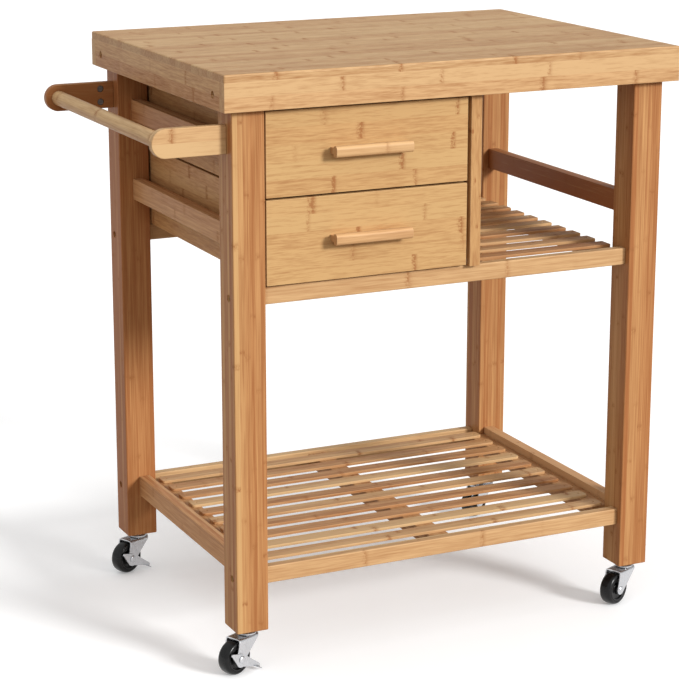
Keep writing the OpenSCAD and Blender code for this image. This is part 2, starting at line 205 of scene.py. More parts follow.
WHITE = colour(1.0, 1.0, 1.0)


# ---- Bamboo ----

# How often each pattern changes per metre, along the grain and across it
WAVE_SCALE = (9.0, 26.0)
CLOUD_SCALE = (4.0, 16.0)
SMUDGE_SCALE = (190.0, 230.0)
STREAK_ACROSS = 260.0
FIBRE_ACROSS = 820.0
FIBRES_PER_STREAK = 3
WAVE_HEIGHT = 3.0 * MM

# How far the patterns move from one strip to the next, and from one seed to the next
STRIP_SHIFT = 9.0
SEED_SHIFT = 1.37

# Strips and plies are numbered over this share of the board, clear of its own faces
CELL_SHARE = 0.998

# Bamboo nodes: one broken dark mark in every cell of a strip's length
NODE_SPACING = 0.18
NODE_SHIFT = 7.0
NODE_AT = (0.2, 0.8)
NODE_WANDER = 12.0 * MM
NODE_POWER = 0.8
PLY_STEP = 31.0
SEED_STEP = 0.5
PATCH_FROM = (0.4, 0.62)
PATCH_TO = (0.25, 1.3)
BAND_HALF = 1.0 * MM
BAND_SOFT = (4.0 * MM, 8.0 * MM)
BAND_SHARE = 0.8
RIDGE_HALF = 0.3 * MM
RIDGE_SOFT = 1.8 * MM
RIDGE_SHARE = 0.5

# Widths of glue lines, worn edges with a painted highlight, end grain and a side's outer strip,
# and how they fade
GLUE_LINE = 0.25 * MM
GLUE_SOFT = 0.3 * MM
WORN_AND_HIGHLIT_EDGE = 1.2 * MM
END_SKIN = 0.4 * MM
END_SOFT = 0.1 * MM
SIDE_SKIN = 0.5 * MM
SIDE_SOFT = 0.6 * MM
SIDE_LEAN = 0.25

# How far each pattern takes the wood from pale to brown, and towards red
TONE_DEPTH = 0.75
STREAK_DEPTH = 1.35
FIBRE_DEPTH = 0.75
CLOUD_DEPTH = 0.5
HUE_RED = 0.5
LEAN_RED = 0.7
RED_SHARE = 0.8

# The share that each mark covers, and its colour
MARK_SHARE = 0.85
GLUE_SHARE = 0.2
END_SHARE = 0.45
WORN_AND_HIGHLIGHT_SHARE = 0.12
RED = colour(1.0, 0.68, 0.56)
MARK_BROWN = colour(0.3, 0.112, 0.034)
GLUE_BROWN = colour(0.28, 0.14, 0.06)
END_BROWN = colour(0.3, 0.155, 0.07)
# Edges are painted paler: partly wear, partly a painted highlight where light catches them
WORN_AND_HIGHLIGHT_PALE = colour(0.86, 0.62, 0.36)
PALE = colour(0.58, 0.375, 0.165)
BROWN = colour(0.33, 0.155, 0.055)
CREAM = colour(0.64, 0.44, 0.225)

# Satin lacquer: its roughness, and the heights that show through it
LACQUER_ROUGH = 0.34
FIBRE_ROUGH = 0.22
MARK_ROUGH = 0.12
LACQUER_GLOSS = 0.11
FIBRE_HEIGHT = 0.6
STREAK_HEIGHT = 0.4
GLUE_HEIGHT = -0.5
MARK_HEIGHT = 0.5
GRAIN_STRENGTH = 0.22
GRAIN_HEIGHT = 0.25 * MM


class Bamboo(Finish):
    """Laminated bamboo. The boards' own attributes say where the grain runs:
    grain is (along, across, through) from a corner, span is the board's size,
    lay is (strips per metre, plies per metre, seed), and the board's tint is
    (warmth, lean, tone), where warmth and tone are partly painted shade on boards that lie in
    shadow."""

    def __init__(self, name):
        super().__init__(name)
        self.along, self.across, self.through = self.attribute("grain")
        self.length, self.width, self.thick = self.attribute("span")
        self.strips, self.plies, seed = self.attribute("lay")
        self.warmth, self.lean, self.tone_and_painted_shade = self.attribute("tint_and_painted_shade")
        self.seed = self.math("ROUND", seed)
        self.lane = self.counted(self.across, self.strips)
        self.layer = self.counted(self.through, self.plies)
        self.strip = self.math("FLOOR", self.lane)
        self.ply = self.math("FLOOR", self.layer)
        self.tone, self.hue, self.shift, _ = self.random(self.strip, self.ply, self.seed)
        self.start = self.times_add(self.shift, STRIP_SHIFT, self.times(self.seed, SEED_SHIFT))

    def counted(self, value, per_metre):
        """How many strips or plies lie before value."""
        return self.times_add(self.times(value, per_metre), CELL_SHARE, (1 - CELL_SHARE) / 2)

    def pattern(self, along, across, over, deep, detail, roughness=0.5):
        """Noise at (over, deep) in the board's section, moved along for each strip."""
        at = self.vector(self.times_add(self.along, along, self.start),
                         self.times(over, across), self.times(deep, across))
        return self.noise(at, detail=detail, roughness=roughness)

    def grain(self, dashes):
        """Long wavy streaks, finer fibres between them, and soft clouds."""
        wave = self.pattern(*WAVE_SCALE, self.across, self.through, detail=1.0)
        over = self.swing(wave, WAVE_HEIGHT, self.across)
        deep = self.swing(wave, WAVE_HEIGHT, self.through)
        streak = self.pattern(dashes, STREAK_ACROSS, over, deep, detail=3.0, roughness=0.6)
        fibre = self.pattern(FIBRES_PER_STREAK * dashes, FIBRE_ACROSS, over, deep,
                             detail=2.0)
        cloud = self.pattern(*CLOUD_SCALE, self.across, self.through, detail=1.0)
        return streak, fibre, cloud

    def node_marks(self, strength):
        """Broken dark bands across the strips, each with a thin ridge in its middle."""
        along, across = SMUDGE_SCALE
        smudge_at = self.vector(self.times(self.along, along),
                                self.times(self.across, across),
                                self.times(self.through, across))
        smudge = self.noise(smudge_at, detail=3.0, roughness=0.7)
        cells = self.math("DIVIDE", self.along, NODE_SPACING)
        cell_at = self.times_add(self.shift, NODE_SHIFT, cells)
        row = self.times_add(self.ply, PLY_STEP, self.strip)
        power, jitter, spread, _ = self.random(self.math("FLOOR", cell_at), row,
                                               self.add(self.seed, SEED_STEP))
        offset = self.less(self.math("FRACT", cell_at), self.scaled(jitter, *NODE_AT))
        wandering = self.swing(smudge, NODE_WANDER, self.times(offset, NODE_SPACING))
        distance = self.math("ABSOLUTE", wandering)
        patch = self.ramp(smudge, *PATCH_FROM, *PATCH_TO)
        band = self.near(distance, BAND_HALF, self.scaled(spread, *BAND_SOFT))
        ridge = self.near(distance, RIDGE_HALF, RIDGE_SOFT)
        mark = self.times_add(self.times(ridge, patch), RIDGE_SHARE,
                              self.times(self.times(band, patch), BAND_SHARE))
        mark = self.times(mark, self.math("POWER", power, NODE_POWER))
        return self.lower(self.times(mark, strength), 1.0)

    def inside(self, value, size):
        """The distance from value to the nearer end of its size."""
        return self.lower(value, self.less(size, value))

    def seam(self, value, per_metre):
        """1 on the glue lines between strips or plies."""
        gap = self.inside(self.math("FRACT", value), 1.0)
        return self.near(self.math("DIVIDE", gap, per_metre), GLUE_LINE, GLUE_SOFT)

    def glue(self):
        return self.higher(self.seam(self.lane, self.strips), self.seam(self.layer, self.plies))

    def borders(self):
        """Worn edges with a painted highlight, end grain and outer strips, from the distances
        to the board's faces.
        """
        a = self.inside(self.along, self.length)
        b = self.inside(self.across, self.width)
        c = self.inside(self.through, self.thick)
        second = self.higher(self.lower(a, b), self.lower(self.higher(a, b), c))
        worn_and_highlit = self.near(second, 0.0, WORN_AND_HIGHLIT_EDGE)
        end = self.near(a, END_SKIN, END_SOFT)
        skin = self.near(b, SIDE_SKIN, SIDE_SOFT)
        return worn_and_highlit, end, skin

    def leaning(self, skin):
        """How far a strip's place in the board leans it from pale to brown."""
        count = self.times(self.strips, self.width)
        side = self.less(self.math("DIVIDE", self.add(self.strip, 0.5), count), 0.5)
        return self.times(self.lean, self.times_add(skin, self.less(SIDE_LEAN, side), side))


def bamboo(name, pale, node_strength, contrast, fibres, dashes):
    """contrast is how much the strips differ, and fibres how much the grain shows within
    them. dashes is how often per metre a streak of it changes along its length."""
    g = Bamboo(name)
    streak, fibre, cloud = g.grain(dashes)
    mark = g.node_marks(node_strength)
    glue = g.glue()
    worn_and_highlit, end, skin = g.borders()
    leaning = g.leaning(skin)

    depth = g.add(leaning, g.swing(g.tone, TONE_DEPTH * contrast, g.tone_and_painted_shade))
    for pattern, reach in ((streak, STREAK_DEPTH * fibres), (fibre, FIBRE_DEPTH * fibres),
                           (cloud, CLOUD_DEPTH)):
        depth = g.swing(pattern, reach, depth)
    paint = g.mix(g.clamped(depth), pale, BROWN)
    red = g.times_add(leaning, LEAN_RED, g.swing(g.hue, HUE_RED * contrast, g.warmth))
    paint = g.mix(g.times(g.clamped(red), RED_SHARE), paint, RED, "MULTIPLY")
    # The pale edges are partly wear and partly a painted highlight
    for cover, share, tint in ((mark, MARK_SHARE, MARK_BROWN), (glue, GLUE_SHARE, GLUE_BROWN),
                               (end, END_SHARE, END_BROWN), (worn_and_highlit, WORN_AND_HIGHLIGHT_SHARE, WORN_AND_HIGHLIGHT_PALE)):
        paint = g.mix(g.times(cover, share), paint, tint)

    rough = g.times_add(mark, MARK_ROUGH, g.times_add(fibre, FIBRE_ROUGH, LACQUER_ROUGH))
    height = g.times_add(fibre, FIBRE_HEIGHT, g.times(streak, STREAK_HEIGHT))
    height = g.times_add(glue, GLUE_HEIGHT, height)
    height = g.times_add(mark, MARK_HEIGHT, height)
    g.bump(height, GRAIN_STRENGTH, GRAIN_HEIGHT)
    return g.principled(Base_Color=paint, Roughness=rough, Specular_IOR_Level=LACQUER_GLOSS)


# ---- Metal and nylon ----

# Spangles and drawing marks of zinc plate, per metre
SPANGLE_SCALE = 60.0
DRAWN_ACROSS = 900.0
DRAWN_ALONG = 70.0
DRAWN_STRENGTH = 0.08
DRAWN_HEIGHT = 0.1 * MM
DULLER = 0.12
BRIGHTER = 0.05

# Scuffs and dust on the wheels, per metre
SCUFF_SCALE = 240.0
SCUFF_EDGE = 0.36
SCUFF_SOFT = 0.2
SCUFF_STRENGTH = 0.12
SCUFF_HEIGHT = 0.15 * MM
DUST_SCALE = 35.0
NYLON_ROUGH = (0.16, 0.34)
NYLON_GLOSS = 0.3
NYLON_BLACK = colour(0.0025, 0.0025, 0.0028)
NYLON_DUSTY = colour(0.01, 0.0097, 0.0094)

STEEL_PALE = colour(0.3, 0.29, 0.28)
STEEL_DARK = colour(0.12, 0.12, 0.12)
STEEL_ROUGH = 0.38
ZINC_PALE = colour(0.7, 0.71, 0.73)
ZINC_DARK = colour(0.45, 0.46, 0.48)
ZINC_ROUGH = 0.24


def zinc(name, tint, dark, rough):
    """Zinc-plated pressed steel with faint clouds, spangles and drawing marks."""
    g = Finish(name)
    at = g.place()
    cloud = g.noise(at, SPANGLE_SCALE, 3.0)
    x, y, z = g.split(at)
    marks = g.noise(g.vector(g.times(x, DRAWN_ACROSS), g.times(y, DRAWN_ACROSS),
                             g.times(z, DRAWN_ALONG)))
    share = g.times_add(marks, 0.5, g.times(cloud, 0.5))
    g.bump(marks, DRAWN_STRENGTH, DRAWN_HEIGHT)
    return g.principled(Base_Color=g.mix(share, dark, tint), Metallic=1.0,
                        Roughness=g.scaled(share, rough + DULLER, rough - BRIGHTER))


def nylon(name):
    """Black moulded nylon with fine scuffs, dusty in places."""
    g = Finish(name)
    at = g.place()
    scuff = g.noise(at, SCUFF_SCALE, 4.0, 0.65)
    dust = g.noise(at, DUST_SCALE, 3.0)
    share = g.times(g.near(scuff, SCUFF_EDGE, SCUFF_SOFT), dust)
    g.bump(scuff, SCUFF_STRENGTH, SCUFF_HEIGHT)
    return g.principled(Base_Color=g.mix(share, NYLON_BLACK, NYLON_DUSTY),
                        Roughness=g.scaled(scuff, *NYLON_ROUGH),
                        Specular_IOR_Level=NYLON_GLOSS)


# Pale colour, strength of the node marks, contrast, fibres and dashes of each wood
WOODS = {
    "worktop": (CREAM, 1.0, 0.4, 1.25, 20.0),
    "legs": (PALE, 0.9, 1.0, 1.5, 4.0),
    "rails": (CREAM, 0.7, 0.8, 1.1, 10.0),
    "slats": (CREAM, 1.1, 0.9, 1.2, 10.0),
    "panels": (PALE, 1.6, 0.4, 1.4, 20.0),
    "towel_handle": (CREAM, 0.8, 0.6, 0.9, 14.0),
    "pulls": (CREAM, 0.4, 0.9, 1.0, 10.0),
}
FINISH = {slot: bamboo("bamboo_" + slot, *wood) for slot, wood in WOODS.items()}
FINISH["fasteners"] = zinc("bolt_steel", STEEL_PALE, STEEL_DARK, STEEL_ROUGH)
FINISH["zinc"] = zinc("bright_zinc", ZINC_PALE, ZINC_DARK, ZINC_ROUGH)
FINISH["wheels"] = nylon("black_nylon")


# ---- Meshes ----

# Edges turn by more than SHARP where they are rounded over, by less than FLAT inside one
# flat face, and by less than SMOOTH where they are shaded smooth
SHARP = math.radians(35)
FLAT = math.radians(0.5)
SMOOTH = math.radians(30)
SAME_POINT = 0.01 * MM

# The rims of all bores are shorter than this
RIM_LENGTH = 0.08
LAST_SEED = 900
WARMTH_PER_SHADE = 0.6


def cad_shape(node):
    """The CAD node as a bmesh with its flat faces whole."""
    shape = bmesh.new()
    shape.from_mesh(frame["nodes"][node].data)
    bmesh.ops.remove_doubles(shape, verts=shape.verts, dist=SAME_POINT)
    bmesh.ops.dissolve_limit(shape, angle_limit=FLAT, verts=shape.verts, edges=shape.edges)
    return shape


def sharp_edges(shape):
    return [e for e in shape.edges if len(e.link_faces) == 2 and e.calc_face_angle() > SHARP]


def round_edges(shape, edges, size, segments, clamp):
    """Rounds the edges over. clamp keeps the rounding off its neighbours."""
    bmesh.ops.bevel(shape, geom=edges, offset=size, offset_type="OFFSET",
                    segments=segments, profile=0.5, affect="EDGES", clamp_overlap=clamp)


def outline(shape):
    """The sharp outer edges. The rims of bores are short loops, and are left out."""
    shape.edges.index_update()
    waiting = {e.index: e for e in sharp_edges(shape) if e.is_convex}
    found = []
    for first in sorted(waiting):
        if first not in waiting:
            continue
        group = [waiting.pop(first)]
        for edge in group:
            for vert in edge.verts:
                for other in vert.link_edges:
                    if other.index in waiting:
                        group.append(waiting.pop(other.index))
        if sum(e.calc_length() for e in group) > RIM_LENGTH:
            found += group
    return found


def islands(shape):
    """The vertices of each separate solid."""
    shape.verts.ensure_lookup_table()
    shape.verts.index_update()
    seen = set()
    for start in shape.verts:
        if start.index in seen:
            continue
        seen.add(start.index)
        group = [start]
        for vert in group:
            for edge in vert.link_edges:
                other = edge.other_vert(vert)
                if other.index not in seen:
                    seen.add(other.index)
                    group.append(other)
        yield group


def into_scene(name, data):
    made = bpy.data.objects.new(name, data)
    bpy.context.scene.collection.objects.link(made)
    return made


def to_object(name, shape, finish, body):
    """Makes the piece, and lets it ride on its body."""
    bmesh.ops.recalc_face_normals(shape, faces=shape.faces)
    mesh = bpy.data.meshes.new(name)
    shape.to_mesh(mesh)
    shape.free()
    mesh.shade_smooth()
    mesh.set_sharp_from_angle(angle=SMOOTH)
    mesh.materials.append(FINISH[finish])
    piece = into_scene(name, mesh)
    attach(piece, body)
    return piece


def write_vectors(mesh, name, values):
    data = mesh.attributes.new(name, "FLOAT_VECTOR", "POINT").data
    data.foreach_set("vector", [x for value in values for x in value])


def grain_layers(shape, grain, across, strip, ply, tint_and_painted_shade, vary):
    """What the bamboo shader reads, for each solid by its own box. vary is how far the
    solids of one node differ at random in tone, on top of the board's tone and painted shade."""
    order = [AXIS[grain], AXIS[across], 3 - AXIS[grain] - AXIS[across]]
    layers = {key: [None] * len(shape.verts) for key in ("grain", "span", "lay", "tint_and_painted_shade")}
    for group in islands(shape):
        low = [min(v.co[k] for v in group) for k in order]
        high = [max(v.co[k] for v in group) for k in order]
        size = [b - a for a, b in zip(low, high)]
        counts = [max(1, round(size[1] / strip)), max(1, round(size[2] / ply))]
        lay = (counts[0] / size[1], counts[1] / size[2], draw.randint(1, LAST_SEED))
        # A random change of tone for this solid, added to the board's tone and painted shade
        tone_and_painted_shade = draw.uniform(-vary, vary)
        warmth, lean, base = tint_and_painted_shade
        own = (warmth + tone_and_painted_shade * WARMTH_PER_SHADE, lean, base + tone_and_painted_shade)
        for v in group:
            layers["grain"][v.index] = [v.co[k] - a for k, a in zip(order, low)]
            layers["span"][v.index] = size
            layers["lay"][v.index] = lay
            layers["tint_and_painted_shade"][v.index] = own
    return layers


def bamboo_piece(name, shape, finish, body, layers):
    """A board with its grain written on it, for the shader."""
    piece = to_object(name, shape, finish, body)
    for key, values in layers.items():
        write_vectors(piece.data, key, values)
    weighted = piece.modifiers.new("weighted_normals", "WEIGHTED_NORMAL")
    weighted.keep_sharp = True
    return piece


def board(node, finish, grain, across, *, strip, ply, warmth, tone_and_painted_shade, lean=0.0,
          bevel=1.0 * MM, vary=0.0, joint=None):
    """A CAD board with eased edges, in laminated bamboo. Edges at the height joint are
    glued to the next board, and stay sharp."""
    shape = cad_shape(node)
    edges = [e for e in outline(shape) if joint is None
             or any(abs(v.co.z - joint) > GLUE_LINE for v in e.verts)]
    round_edges(shape, edges, bevel, 4, False)
    layers = grain_layers(shape, grain, across, strip, ply, (warmth, lean, tone_and_painted_shade), vary)
    body = frame["nodes"][node]["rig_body"]
    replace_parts(bamboo_piece(node + "_board", shape, finish, body, layers), node)


# ---- Boards ----
# strip and ply are the width and thickness of a board's bamboo strips. warmth turns the
# board towards red, its tone takes it from pale to brown, and lean does so from one side
# to the other. Tone and warmth are partly the wood's own and partly painted shade:
# boards that lie in shadow are painted darker and redder.

def worktop():
    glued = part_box("top_panel")[0][2]
    board("top_panel", "worktop", "X", "Y", strip=20 * MM, ply=11 * MM, warmth=0.15,
          tone_and_painted_shade=0.36, bevel=2.5 * MM, joint=glued)
    for side in ("front", "back"):
        board("apron_" + side, "worktop", "X", "Z", strip=20 * MM, ply=9 * MM, warmth=0.25,
              tone_and_painted_shade=0.12, bevel=0.8 * MM, joint=glued)
    for side in ("left", "right"):
        board("apron_" + side, "worktop", "Y", "Z", strip=20 * MM, ply=9 * MM, warmth=0.4,
              tone_and_painted_shade=0.5, bevel=0.4 * MM, joint=glued)


def legs():
    # Warmth, lean and tone of each leg. The back left leg stands in the cart's shadow, and its
    # dark red tone is painted shade; the other legs' warmth is partly painted shade on their
    # shaded inner sides.
    leg_tints_and_painted_shade = {"front_left": (0.6, 0.9, 0.45), "front_right": (0.8, -0.2, 0.6),
             "back_left": (1.0, 0.4, 1.0), "back_right": (0.75, 0.4, 0.65)}
    for corner, (warmth, lean, tone_and_painted_shade) in leg_tints_and_painted_shade.items():
        board("leg_" + corner, "legs", "Z", "X", strip=8 * MM, ply=7 * MM, warmth=warmth,
              tone_and_painted_shade=tone_and_painted_shade, lean=lean, bevel=1.8 * MM)


def rails():
    # The side rails' tones are partly painted shade: the right side rail, whose face lies in
    # shadow, is painted dark, and their warmth also paints the red of the shaded inside of the
    # cart.
    rail_tones_and_painted_shade = {"drawer_rail_left": 0.5, "side_rail_left": 0.5, "side_rail_right": 0.95,
              "low_side_rail_left": 0.45, "low_side_rail_right": 0.2}
    for node, tone_and_painted_shade in rail_tones_and_painted_shade.items():
        board(node, "rails", "Y", "Z", strip=16 * MM, ply=5.7 * MM, warmth=0.8, tone_and_painted_shade=tone_and_painted_shade)
    for node in ("mid_rail_front", "mid_rail_back", "low_rail_front", "low_rail_back"):
        board(node, "rails", "X", "Z", strip=25 * MM, ply=5 * MM, warmth=0.15, tone_and_painted_shade=0.08,
              bevel=1.6 * MM)
    for node in ("mid_battens", "low_battens", "runners"):
        board(node, "rails", "Y", "X", strip=15 * MM, ply=8 * MM, warmth=0.5, tone_and_painted_shade=0.5,
              vary=0.1)


def shelves():
    for node in ("mid_slats", "low_slats"):
        board(node, "slats", "X", "Y", strip=12 * MM, ply=4.5 * MM, warmth=0.4, tone_and_painted_shade=0.35,
              bevel=0.8 * MM, vary=0.2)


def drawer(name):
    board(name + "_front", "panels", "X", "Z", strip=23 * MM, ply=7.5 * MM, warmth=0.12,
          tone_and_painted_shade=0.14, bevel=0.8 * MM)
    # The drawer sides lie in shade inside the cart; their redder, darker tone is partly painted
    # shade.
    board(name + "_sides", "panels", "Y", "Z", strip=19 * MM, ply=6 * MM, warmth=0.6,
          tone_and_painted_shade=0.35, bevel=0.8 * MM, vary=0.08)
    board(name + "_back", "panels", "X", "Z", strip=20 * MM, ply=6 * MM, warmth=0.3,
          tone_and_painted_shade=0.35, bevel=0.8 * MM)
    board(name + "_bottom", "panels", "X", "Y", strip=20 * MM, ply=5 * MM, warmth=0.2,
          tone_and_painted_shade=0.3, bevel=0.3 * MM)
    board(name + "_pull", "pulls", "X", "Z", strip=16 * MM, ply=8 * MM, warmth=0.35,
          tone_and_painted_shade=0.05, bevel=0.6 * MM)


def drawers():
    board("divider", "panels", "Z", "Y", strip=20 * MM, ply=4.3 * MM, warmth=0.3,
          tone_and_painted_shade=0.3, bevel=0.8 * MM)
    board("back_panel", "panels", "X", "Z", strip=24 * MM, ply=4.5 * MM, warmth=0.3,
          tone_and_painted_shade=0.4, bevel=0.8 * MM)
    drawer("upper")
    drawer("lower")


def towel_bar():
    # The back arm stands in the cart's shadow: its dark, red tone is painted shade.
    for side, warmth, tone_and_painted_shade in (("front", 0.2, 0.1), ("back", 0.7, 1.0)):
        board("bar_arm_" + side, "towel_handle", "X", "Z", strip=20 * MM, ply=6 * MM,
              warmth=warmth, tone_and_painted_shade=tone_and_painted_shade, bevel=1.4 * MM)
    board("towel_bar", "towel_handle", "Y", "X", strip=11 * MM, ply=11 * MM, warmth=0.2,
          tone_and_painted_shade=0.3, bevel=0.8 * MM)


# ---- Turned metal ----

ROUND_STEPS = 48
FLAT_TURN = math.radians(60)

# Keeps divisions by a sine or cosine finite
TINY = 1e-9

# Half widths of the slot and the cross recess, as shares of their reach
SLOT_SHARE = 0.22
CROSS_SHARE = 0.28

# A head's rim is at this share of the widest reach or more, and a head is wider than its
# shank by this factor or more
AT_RIM = 0.95
HAS_HEAD = 1.2


# The forms that a ring may have: how far it reaches from the axis at an angle

def plain_round(radius, angle):
    return radius


def hexagon(radius, angle):
    half = FLAT_TURN / 2
    return radius * math.cos(half) / math.cos(angle % FLAT_TURN - half)


def bar_across(long, short, angle):
    """Distance to the edge of a rectangle, given as half lengths."""
    return min(long / max(abs(math.cos(angle)), TINY), short / max(abs(math.sin(angle)), TINY))


def slot_cut(radius, angle):
    return bar_across(radius, SLOT_SHARE * radius, angle)


def cross_cut(radius, angle):
    thin = CROSS_SHARE * radius
    return max(bar_across(radius, thin, angle), bar_across(thin, radius, angle))


def turned(shape, matrix, profile, closed=False):
    """A solid about the local z axis. The profile holds (radius, height) or
    (radius, height, form), and is closed when it comes back to its start, as a ring does."""
    rings = []
    for radius, height, *form in profile:
        reach = form[0] if form else plain_round
        verts = []
        for k in range(ROUND_STEPS):
            angle = math.tau * k / ROUND_STEPS
            r = reach(radius, angle)
            point = Vector((r * math.cos(angle), r * math.sin(angle), height))
            verts.append(shape.verts.new(matrix @ point))
        rings.append(verts)
    following = rings[1:] + rings[:1] if closed else rings[1:]
    for low, high in zip(rings, following):
        for k in range(ROUND_STEPS):
            j = (k + 1) % ROUND_STEPS
            shape.faces.new((low[k], low[j], high[j], high[k]))
    if not closed:
        shape.faces.new(rings[0][::-1])
        shape.faces.new(rings[-1])


def mirrored(profile):
    """A half profile over height 0, with its mirror image under it, as one closed ring."""
    return profile + [(r, -h) for r, h in reversed(profile)]


def metal_piece(name, shape, finish, node):
    piece = to_object(name, shape, finish, frame["nodes"][node]["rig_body"])
    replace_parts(piece, node)


def facing(point, direction):
    """A matrix at point with its z axis along direction."""
    turn = Vector(direction).to_track_quat("Z", "Y").to_matrix().to_4x4()
    return Matrix.Translation(point) @ turn


def placed_fasteners(node, axis=None, outward=1):
    """The matrix at the outer end of each fastener in a CAD node, with its length,
    its head's radius and height, and its shank's radius. They lie along axis, or else
    along their longest side. Without a head, the end that shows faces away from the
    node's middle, or towards it where outward is -1."""
    shape = cad_shape(node)
    centre = sum(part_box(node), Vector()) / 2
    for group in islands(shape):
        low = Vector([min(v.co[k] for v in group) for k in range(3)])
        high = Vector([max(v.co[k] for v in group) for k in range(3)])
        middle = (low + high) / 2
        size = high - low
        along = max(range(3), key=lambda k: size[k]) if axis is None else AXIS[axis]
        reach = {}
        for v in group:
            off = v.co - middle
            off[along] = 0.0
            reach[v] = off.length
        wide, thin = max(reach.values()), min(reach.values())
        head = [v.co[along] for v in group if reach[v] > AT_RIM * wide]
        headed = wide > HAS_HEAD * thin
        if headed:
            sign = 1 if (max(head) + min(head)) / 2 > middle[along] else -1
        else:
            sign = outward if middle[along] > centre[along] else -outward
        end = middle.copy()
        end[along] = high[along] if sign > 0 else low[along]
        direction = [0.0, 0.0, 0.0]
        direction[along] = sign
        head_h = max(head) - min(head) if headed else 0.0
        yield facing(end, direction), size[along], wide, head_h, thin
    shape.free()


def bolt_profile(length, head_r, head_h, shank_r):
    """A socket cap bolt, from the floor of its hexagon socket to its tip."""
    socket = 0.56 * head_r
    ease = 0.12 * head_r
    return [(socket, -0.55 * head_h, hexagon), (socket, -ease / 2, hexagon),
            (socket + ease / 2, 0.0, hexagon), (head_r - 1.6 * ease, 0.0),
            (head_r - 0.5 * ease, -0.35 * ease), (head_r, -1.4 * ease), (head_r, -head_h),
            (shank_r, -head_h), (shank_r, ease - length), (shank_r - ease, -length)]


def screw_profile(length, head_r, head_h, shank_r):
    """A pan-head wood screw, from the floor of its cross recess to its tip."""
    cross = 0.62 * head_r
    crown = 0.3 * head_h
    ease = 0.3 * shank_r
    return [(0.6 * cross, -0.9 * head_h, cross_cut), (cross, -0.05 * head_h, cross_cut),
            (cross + 0.08 * head_r, 0.0), (0.82 * head_r, -crown / 2), (head_r, -2 * crown),
            (head_r, -head_h), (shank_r, -head_h), (shank_r, 4 * ease - length),
            (ease, -length)]


def set_screw_profile(length, radius):
    """A headless screw with a cross recess in its end."""
    depth = 0.8 * radius
    return [(0.45 * radius, -depth, cross_cut), (0.75 * radius, 0.0, cross_cut),
            (0.9 * radius, 0.0), (radius, -0.2 * radius), (radius, 2 * radius - length),
            (0.2 * radius, -length)]


def barrel_profile(length, radius):
    """A barrel nut with a screwdriver slot in its end."""
    ease = 0.08 * radius
    return [(0.72 * radius, -0.25 * radius, slot_cut), (0.72 * radius, 0.0, slot_cut),
            (radius - 2 * ease, 0.0), (radius, -1.5 * ease), (radius, ease - length),
            (radius - ease, -length)]


def fasteners():
    for node in ("rail_bolts", "bar_bolts"):
        shape = bmesh.new()
        for matrix, *sizes in placed_fasteners(node):
            turned(shape, matrix, bolt_profile(*sizes))
        metal_piece(node + "_turned", shape, "fasteners", node)
    for node in ("apron_screws", "slat_screws", "upper_screws", "lower_screws"):
        shape = bmesh.new()
        for matrix, length, head_r, head_h, shank_r in placed_fasteners(node):
            if head_h > 0.0:
                turned(shape, matrix, screw_profile(length, head_r, head_h, shank_r))
            else:
                turned(shape, matrix, set_screw_profile(length, shank_r))
        metal_piece(node + "_turned", shape, "fasteners", node)
    shape = bmesh.new()
    for matrix, length, radius, _, _ in placed_fasteners("barrel_nuts", "Y", -1):
        turned(shape, matrix, barrel_profile(length, radius))
    metal_piece("barrel_nuts_turned", shape, "fasteners", "barrel_nuts")


# ---- Casters ----
# Local x trails from the swivel axis to the axle, and local y runs along the axle. Stems
# and forks are drawn from the foot of the swivel axis, so their z is the height above the
# floor. Wheels, axles and levers are drawn from the middle of the axle.

CORNERS = ("front_left", "front_right", "back_left", "back_right")
JOINT = {joint["name"]: joint for joint in frame["joints"]}

# Swivel plate, race and stem, then the fork's sheet, the wheel and the axle
PLATE_TOP = 54.0 * MM
PLATE_R = 16.0 * MM
PLATE_LEAD = 2.0 * MM
PLATE_DEEP = 2.5 * MM
RACE_TOP = 63.0 * MM
RACE_R = 14.0 * MM
STEM_R = 5.0 * MM
STEM_TOP = 100.7 * MM
PLAY = 0.3 * MM
SHEET = 2.0 * MM
CHEEK_Y = 13.0 * MM
BOSS_R = 8.0 * MM
BEND_R = 3.0 * MM
WHEEL_R = 25.0 * MM
WHEEL_HALF = 10.0 * MM
AXLE_R = 3.0 * MM
RIVET_HEAD = 2.0 * MM
RIVET_R = 5.5 * MM

# Points along half of the fork's section, and across the sheet
ROUND_ROWS = 9
STRAIGHT_ROWS = 7
BEND_ROWS = 5
PLATE_ROWS = 5
COLUMNS = 17
FORK_EASE = 0.4 * MM
LEVER_EASE = 0.25 * MM
WELD = 0.001 * MM


def caster_places(corner):
    """Matrices at the foot of the swivel axis and at the axle, both along local axes."""
    turn = JOINT["wheel_turn_" + corner]
    side = Vector(turn["axis"]).normalized()
    trail = side.cross(UP)
    hub = Vector(turn["pos_m"])
    foot = Vector(JOINT["swivel_turn_" + corner]["pos_m"])
    foot.z = 0.0
    axes = Matrix((trail, side, UP)).transposed().to_4x4()
    return Matrix.Translation(foot) @ axes, Matrix.Translation(hub) @ axes


def along_axle(place):
    """Turns a place so that its z axis runs along the axle."""
    return place @ Matrix.Rotation(-math.pi / 2, 4, "X")


